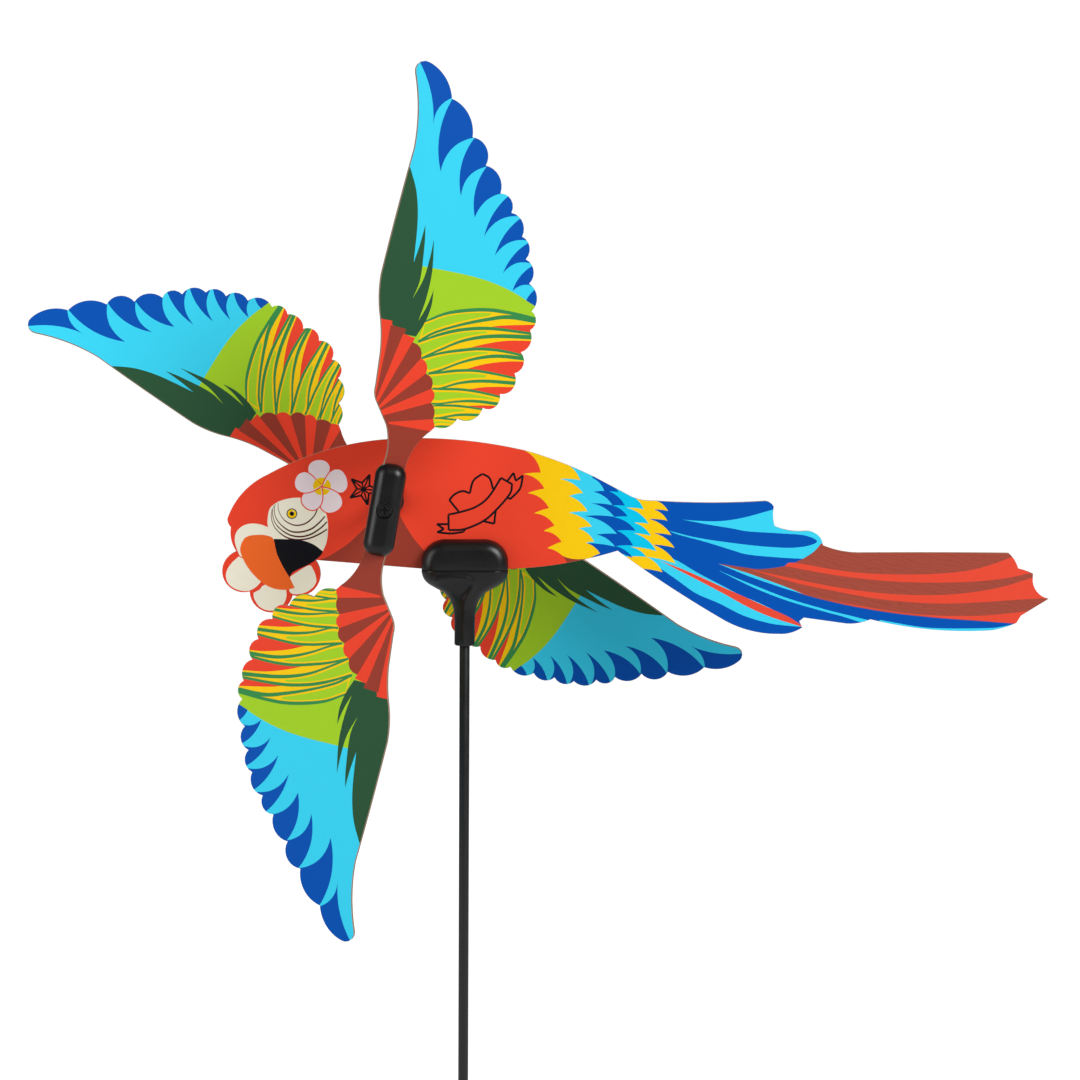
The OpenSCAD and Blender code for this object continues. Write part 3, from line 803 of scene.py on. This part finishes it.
    # tattoos: a five-point star, and a heart behind a blank ribbon
    star = Vector((-14.3, 6.3))
    star_r, notch_r, star_turn = 9.3, 3.9, 68
    outline_w, spoke_w, spoke_start, hub_r = 1.1, 0.85, 0.7, 0.95
    points = []
    for k in range(10):
        a = math.radians(star_turn + 36 * k)
        radius = star_r if k % 2 == 0 else notch_r
        points.append(star + radius * Vector((math.cos(a), math.sin(a))))
    for a, b in zip(points, points[1:] + points[:1]):
        add("black", stroke([a, b], outline_w, False))
        add("black", stroke([star + (a - star).normalized() * spoke_start, a], spoke_w, False))
    # the spokes end inside this dot, so that they don't all meet in one point
    add("black", disc(star, hub_r, 13))
    tattoo_w = 1.25
    tattoo_lines = (
        [(41, -6.8), (35.3, 0.3)],
        [(35.3, 0.3), (38.4, 3.6), (43, 5.5), (47.2, 4.2)],
        [(47.2, 4.2), (49.2, 11.5), (54.4, 15.6)],
        [(54.4, 15.6), (58.6, 13.1), (60.7, 6.8)],
        [(62.3, -5.7), (61.5, -13.5)],
        [(61.5, -13.5), (55.1, -12)],
        [(34.8, -8.2), (41.5, -6.8), (50.9, -3.6), (58.1, 2.1), (65.3, 13.3)],
        [(65.3, 13.3), (71.8, 9.6)],
        [(71.8, 9.6), (70.4, 3.8), (62.3, -5.7), (55.1, -12), (44.2, -16.7), (35, -17.3)],
        [(35, -17.3), (34.8, -8.2)],
        [(34.8, -13.9), (28.1, -13.8)],
        [(28.1, -13.8), (32.2, -16.7)],
        [(32.2, -16.7), (28.3, -18.6)],
        [(28.3, -18.6), (36.4, -19.3), (43.6, -18.3)],
        [(43.6, -18.3), (44.5, -16.8)],
        [(69, 11.5), (72.6, 16.2)],
        [(72.6, 16.2), (73.9, 11.6)],
        [(73.9, 11.6), (78, 14.7)],
        [(78, 14.7), (76.3, 6.9), (70.6, 0.8)],
        [(70.6, 0.8), (68.7, 2.5)])
    for run in tattoo_lines:
        add("black", stroke(run, tattoo_w))
    return r


# ---- Panels in place --------------------------------------------------------------------------

bird_axle = Vector((hub_at["front_rotor"].x, 0, hub_at["front_rotor"].z))
printed_panel("bird_panel", "body_plate", "bird", bird_axle, Vector((1, 0, 0)), Vector((0, 0, 1)),
              PLATE_T, bird_print(), "blue")

for name, rotor, turn in (("front_wing_upper", "front_rotor", FRONT_TURN),
                          ("front_wing_lower", "front_rotor", FRONT_TURN + 180),
                          ("rear_wing_left", "rear_rotor", REAR_TURN),
                          ("rear_wing_right", "rear_rotor", REAR_TURN + 180)):
    a = math.radians(turn)
    along = Vector((math.sin(a), 0, math.cos(a)))
    flat_way = Vector((math.cos(a), 0, -math.sin(a)))
    across = flat_way * math.cos(WING_PITCH) + Vector((0, 1, 0)) * math.sin(WING_PITCH)
    printed_panel(name + "_panel", name, rotor, hub_at[rotor], along, across, WING_T,
                  wing_print(), "pale_cyan")

# ---- Moulded pieces, modelled ------------------------------------------------------------------

# the hubs: size, recess for the screw, bore for the sleeve, and the slot for a wing's root
HUB_LEN, HUB_W, HUB_D = 51, 17, 16
HUB_END_R, HUB_RIM_R = 7.0, 6.4
RECESS_R, RECESS_DEPTH = 4.5, 4
SLEEVE_BORE_R = 3.97
SLOT_LOW, SLOT_HIGH = (11.48, -5.22, -1.02), (30, 7.22, 1.02)
# the bracket's head, and the two screw holes in its rear half
HEAD_W, HEAD_H, HEAD_HALF_D = 50.5, 17.5, 12
SHOULDER_R, HEAD_RIM_R, SEAM_EASE = 13.6, 7.4, 0.55
SCREW_X, SCREW_Z = 15, 8.5
SCREW_HOLES = ((3.05, 9.0), (1.75, -5.0))
# the mast socket, and the rib on its bowl
SOCKET_H = 45
SOCKET_BORE_R, SOCKET_BORE_TOP = 3.05, -6.9
RIB_HEIGHT, RIB_WIDTH = 1.3, 1.9
PER_CORNER, PER_SIDE = 12, 36
# a cutter runs past the face it cuts by this much
PAST = 2


def select_only(obj):
    """Selects that piece alone and makes it the active one."""
    bpy.ops.object.select_all(action="DESELECT")
    obj.select_set(True)
    bpy.context.view_layer.objects.active = obj


def edit(obj):
    """Into edit mode on that piece alone, with nothing selected."""
    select_only(obj)
    bpy.ops.object.mode_set(mode="EDIT")
    bpy.ops.mesh.select_mode(type="EDGE")
    bpy.ops.mesh.select_all(action="DESELECT")


def pick_edges(obj, wanted):
    """Selects the edges whose two ends satisfy wanted(a, b), in millimetres."""
    bpy.ops.mesh.select_all(action="DESELECT")
    shell = bmesh.from_edit_mesh(obj.data)
    for e in shell.edges:
        a, b = (v.co / MM for v in e.verts)
        e.select_set(bool(wanted(a, b)))
    bmesh.update_edit_mesh(obj.data)


def round_edges(obj, wanted, offset, segments):
    """Bevels the edges whose two ends satisfy wanted(a, b)."""
    pick_edges(obj, wanted)
    bpy.ops.mesh.bevel(offset=offset * MM, segments=segments, affect="EDGES", clamp_overlap=False)


def block(name, low, high):
    """A block between two corners, in millimetres, ready to be shaped."""
    bpy.ops.object.select_all(action="DESELECT")
    bpy.ops.mesh.primitive_cube_add(size=1)
    made = bpy.context.object
    made.name = made.data.name = name
    low, high = Vector(low), Vector(high)
    made.data.transform(Matrix.Translation((low + high) / 2 * MM)
                        @ Matrix.Diagonal(((high - low) * MM).to_4d()))
    return made


def cylinder(radius, low, high, sides=48):
    """A cylinder along z between two heights, in millimetres, ready to cut with."""
    bpy.ops.object.select_all(action="DESELECT")
    bpy.ops.mesh.primitive_cylinder_add(vertices=sides, radius=radius * MM, depth=(high - low) * MM)
    made = bpy.context.object
    made.data.transform(Matrix.Translation((0, 0, (low + high) / 2 * MM)))
    return made


def cut(target, cutter):
    """Takes the cutter out of the target."""
    select_only(target)
    taken = target.modifiers.new("cut", "BOOLEAN")
    taken.operation, taken.object, taken.solver = "DIFFERENCE", cutter, "EXACT"
    bpy.ops.object.modifier_apply(modifier="cut")
    bpy.data.objects.remove(cutter)


def finish(obj, material, angle=35):
    """Shades the piece smooth but for corners over the angle, and gives it its material."""
    select_only(obj)
    bpy.ops.object.shade_smooth_by_angle(angle=math.radians(angle))
    obj.data.materials.clear()
    obj.data.materials.append(material)


def near(value, target):
    """Whether two lengths are the same but for rounding."""
    return abs(value - target) < 0.01


def model_hub(name, node, rotor, turn, side):
    """A moulded hub: a rounded bar with a slot in each end and a round recess for the screw."""
    half = Vector((HUB_LEN, HUB_W, HUB_D)) / 2
    made = block(name, -half, half)
    edit(made)
    round_edges(made, lambda a, b: near(a.x, b.x) and near(a.y, b.y), HUB_END_R, 10)
    round_edges(made, lambda a, b: near(abs(a.z), half.z) and near(a.z, b.z), HUB_RIM_R, 12)
    bpy.ops.object.mode_set(mode="OBJECT")
    out = side * half.z
    for radius, depth in ((RECESS_R, RECESS_DEPTH), (SLEEVE_BORE_R, HUB_D + 1)):
        cut(made, cylinder(radius, *sorted((out - side * depth, out + side * PAST))))
    for half_turn in (0, math.pi):
        slot = block("slot", SLOT_LOW, SLOT_HIGH)
        slot.data.transform(Matrix.Rotation(WING_PITCH, 4, "X"))
        slot.data.transform(Matrix.Rotation(half_turn, 4, "Z"))
        cut(made, slot)
    a = math.radians(turn)
    at = hub_at[rotor]
    made.data.transform(Matrix(((math.sin(a), math.cos(a), 0, at.x), (0, 0, 1, at.y),
                                (math.cos(a), -math.sin(a), 0, at.z), (0, 0, 0, 1))))
    finish(made, BLACK_PLASTIC)
    settle(made, node, rotor)


model_hub("front_hub_bar", "front_hub", "front_rotor", FRONT_TURN, -1)
model_hub("rear_hub_bar", "rear_hub", "rear_rotor", REAR_TURN, 1)

seam_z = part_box("front_jaw")[0].z


def model_jaw(name, node, side):
    """One half of the bracket's head: a block with full round shoulders and a broad rounded rim."""
    inner_y, face_y = side * PLATE_T / 2, side * HEAD_HALF_D
    low, high = sorted((inner_y, face_y))
    made = block(name, (-HEAD_W / 2, low, 0), (HEAD_W / 2, high, HEAD_H))
    edit(made)
    round_edges(made, lambda a, b: near(a.x, b.x) and near(a.z, HEAD_H) and near(b.z, HEAD_H),
                SHOULDER_R, 16)
    round_edges(made, lambda a, b: near(a.y, face_y) and near(b.y, face_y)
                and not (near(a.z, 0) and near(b.z, 0)), HEAD_RIM_R, 14)
    round_edges(made, lambda a, b: near(a.z, 0) and near(b.z, 0)
                and not (near(a.y, inner_y) and near(b.y, inner_y)), SEAM_EASE, 2)
    bpy.ops.object.mode_set(mode="OBJECT")
    if side > 0:
        for x in (-SCREW_X, SCREW_X):
            for radius, low_y in SCREW_HOLES:
                hole = cylinder(radius, low_y, 30)
                hole.data.transform(Matrix.Translation((x * MM, 0, SCREW_Z * MM))
                                    @ Matrix.Rotation(-math.pi / 2, 4, "X"))
                cut(made, hole)
    made.data.transform(Matrix.Translation((0, 0, seam_z)))
    finish(made, BLACK_PLASTIC)
    settle(made, node, "bird")


model_jaw("front_jaw_cover", "front_jaw", -1)
model_jaw("rear_jaw_cover", "rear_jaw", 1)


def model_socket():
    """The bracket's lower half: a bowl as wide as the head that flows into a sleeve."""
    # height below the seam, half width, half depth and corner radius of each section
    sections = [
        (-0.1, 24.5, 11.3, 8.3), (-0.7, 25.2, 11.9, 9), (-3, 25, 11.4, 9), (-6, 23.8, 10.5, 9),
        (-8.7, 21.4, 9.4, 8.8), (-11.3, 17.2, 8.2, 8), (-13.9, 12.6, 7.3, 7.2),
        (-17.6, 9.1, 6.9, 6.8), (-21.8, 7.2, 6.4, 6.4), (-27, 6.2, 6.1, 6.1), (-33, 6, 6, 6),
        (-SOCKET_H + 0.5, 6, 6, 6)]
    rings = smooth(sections, 4) + [
        Vector((-SOCKET_H, 5.6, 5.6, 5.6)), Vector((-SOCKET_H, *[SOCKET_BORE_R] * 3)),
        Vector((SOCKET_BORE_TOP, *[SOCKET_BORE_R] * 3))]
    # a low rib crosses the bowl's front and runs down the middle of the sleeve
    rib = smooth([
        (-17, -5.4), (-11, -4.6), (-5, -4.3), (0.5, -4.9), (4.2, -7), (4.6, -10), (2.2, -14),
        (0, -19), (-0.8, -27), (-0.8, -34), (-0.8, -42)])
    shell = bmesh.new()
    loops = []
    for z, wide, deep, corner in rings:
        corner = min(corner, wide, deep)
        plan = []
        for quarter, (sx, sy) in enumerate(((1, 1), (-1, 1), (-1, -1), (1, -1))):
            for i in range(PER_CORNER):
                a = (quarter + i / (PER_CORNER - 1)) * math.pi / 2
                plan.append((
                    sx * (wide - corner) + corner * math.cos(a),
                    sy * (deep - corner) + corner * math.sin(a)))
            if quarter in (0, 2):
                flat = wide - corner
                plan += [(sx * flat * (1 - 2 * i / PER_SIDE), sy * deep) for i in range(1,
                                                                                        PER_SIDE)]
        loop = []
        for x, y in plan:
            if y < 0 and wide > SOCKET_BORE_R + 0.1:
                gap = min((Vector((x, z)) - q).length for q in rib)
                # the rib fades out where the bowl turns away to the sides
                fade = min(1, max(0, (-y - deep * 0.5) / (deep * 0.3)))
                y -= RIB_HEIGHT * fade * math.exp(-(gap / RIB_WIDTH) ** 2)
            loop.append(shell.verts.new(Vector((x, y, z)) * MM))
        loops.append(loop)
    for upper, lower in zip(loops, loops[1:]):
        for i in range(len(upper)):
            j = (i + 1) % len(upper)
            shell.faces.new((upper[i], lower[i], lower[j], upper[j]))
    shell.faces.new(loops[0])
    shell.faces.new(loops[-1][::-1])
    bmesh.ops.remove_doubles(shell, verts=shell.verts, dist=1e-6)
    bmesh.ops.recalc_face_normals(shell, faces=shell.faces)
    mesh = bpy.data.meshes.new("mast_socket_bowl")
    shell.to_mesh(mesh)
    shell.free()
    mesh.transform(Matrix.Translation((0, 0, seam_z)))
    made = linked("mast_socket_bowl", mesh)
    finish(made, BLACK_PLASTIC)
    settle(made, "mast_socket", "bird")


model_socket()

# ---- Small pieces, finished from the frame's own shapes --------------------------------------

part_of = {part["node"]: part["material_slot"] for part in frame["record"]["subparts"]}
body_of = {n: body for body,
           members in frame["record"]["behaviour"]["bodies"].items() for n in members}
done = {n for o in bpy.context.scene.objects for n in o.get("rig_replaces", [])}
for node_name in sorted(set(frame["nodes"]) - done):
    mesh = frame["nodes"][node_name].data.copy()
    shell = bmesh.new()
    shell.from_mesh(mesh)
    bmesh.ops.remove_doubles(shell, verts=shell.verts, dist=2e-6)
    bmesh.ops.dissolve_limit(shell, angle_limit=math.radians(1), verts=shell.verts,
                             edges=shell.edges)
    shell.to_mesh(mesh)
    shell.free()
    made = linked(node_name + "_finished", mesh)
    eased = made.modifiers.new("eased", "BEVEL")
    eased.width, eased.segments, eased.limit_method = EASE * MM, 2, "ANGLE"
    eased.angle_limit = math.radians(50)
    select_only(made)
    bpy.ops.object.modifier_apply(modifier="eased")
    finish(made, SLOT_MATERIALS[part_of[node_name]])
    settle(made, node_name, body_of[node_name])

# ---- Studio -----------------------------------------------------------------------------------

def floor_material():
    """Matt white studio floor: pale everywhere, with the object's soft shadow still on it."""
    made, tree, shader = new_material("matt_white_studio_floor")
    shader.inputs["Base Color"].default_value = linear("#B4B4B4")
    shader.inputs["Roughness"].default_value = 0.9
    own = add_node(tree, "ShaderNodeTexCoord")
    reach = add_node(tree, "ShaderNodeVectorMath", {"operation": "LENGTH"}, {0: (own, "Object")})
    # the lamps light the middle, so the white is made up further out
    even = add_node(tree, "ShaderNodeMapRange", inputs={
        "Value": (reach, "Value"), "From Min": 0.6, "From Max": 4.0, "To Min": 0.62,
        "To Max": 0.86})
    path = add_node(tree, "ShaderNodeLightPath")
    seen = add_node(tree, "ShaderNodeMath", {"operation": "MULTIPLY"}, {
        0: (path, "Is Camera Ray"), 1: (even, "Result")})
    glow = add_node(tree, "ShaderNodeEmission", inputs={"Strength": (seen, "Value")})
    both = add_node(tree, "ShaderNodeAddShader", inputs={0: (shader, "BSDF"), 1: (glow,
                                                                                  "Emission")})
    out = next(n for n in tree.nodes if n.type == "OUTPUT_MATERIAL")
    tree.links.new(both.outputs[0], out.inputs["Surface"])
    return made


bpy.ops.object.select_all(action="DESELECT")
bpy.ops.mesh.primitive_plane_add(size=40, location=(0, 0, cad_box[0].z - 0.0005))
floor = bpy.context.object
floor.name = "studio_floor"
floor.data.materials.append(floor_material())

world = bpy.data.worlds.new("studio")
world.use_nodes = True
bpy.context.scene.world = world
tree = world.node_tree
tree.nodes.clear()
path = add_node(tree, "ShaderNodeLightPath")
# the studio behind the camera is dim, so black plastic shows the softboxes and little else
dim = add_node(tree, "ShaderNodeMapRange", inputs={
    "Value": (path, "Is Glossy Ray"), "To Min": 0.44, "To Max": 0.06})
level = add_node(tree, "ShaderNodeMapRange", inputs={
    "Value": (path, "Is Camera Ray"), "To Min": (dim, "Result"), "To Max": 1.05})
sky = add_node(tree, "ShaderNodeBackground", inputs={
    "Color": (1, 1, 1, 1), "Strength": (level, "Result")})
add_node(tree, "ShaderNodeOutputWorld", inputs={"Surface": (sky, "Background")})


def softbox(name, place, aim, size, watts):
    """A rectangular softbox turned to its aim."""
    data = bpy.data.lights.new(name, "AREA")
    data.shape = "RECTANGLE"
    data.size, data.size_y = size
    data.energy = watts
    made = linked(name, data)
    made.location = place
    made.rotation_euler = (Vector(aim) - Vector(place)).to_track_quat("-Z", "Y").to_euler()


softbox("key_softbox", (1.5, -1.6, 1.9), (0.0, 0, 0.6), (1.1, 1.3), 49)
softbox("fill_softbox", (-1.6, -1.1, 1.0), (-0.05, 0, 0.6), (1.0, 1.7), 16)
softbox("rear_softbox", (0.2, 2.0, 1.8), (0, 0, 0.6), (1.4, 1.0), 26)

# the camera stands 1.1 m in front, a little above the bird; its turns are in radians
CAMERA_AT = (-0.01126, -1.10435, 0.66619)
DOWN, ASIDE, ROLL = 0.0985382, 0.0498512, 0.0073649
camera_data = bpy.data.cameras.new("camera")
camera_data.sensor_width = 36
camera_data.lens = 63.33
camera = linked("camera", camera_data)
forward = Vector((math.sin(ASIDE) * math.cos(DOWN), math.cos(ASIDE) * math.cos(DOWN),
                  -math.sin(DOWN)))
level_right = Vector((math.cos(ASIDE), -math.sin(ASIDE), 0))
level_up = level_right.cross(forward)
right = level_right * math.cos(ROLL) + level_up * math.sin(ROLL)
above = level_up * math.cos(ROLL) - level_right * math.sin(ROLL)
camera.matrix_world = Matrix((*zip(right, above, -forward, CAMERA_AT), (0, 0, 0, 1)))
camera_data.clip_start, camera_data.clip_end = 0.05, 60
bpy.context.scene.camera = camera
bpy.context.scene.view_settings.view_transform = "Standard"
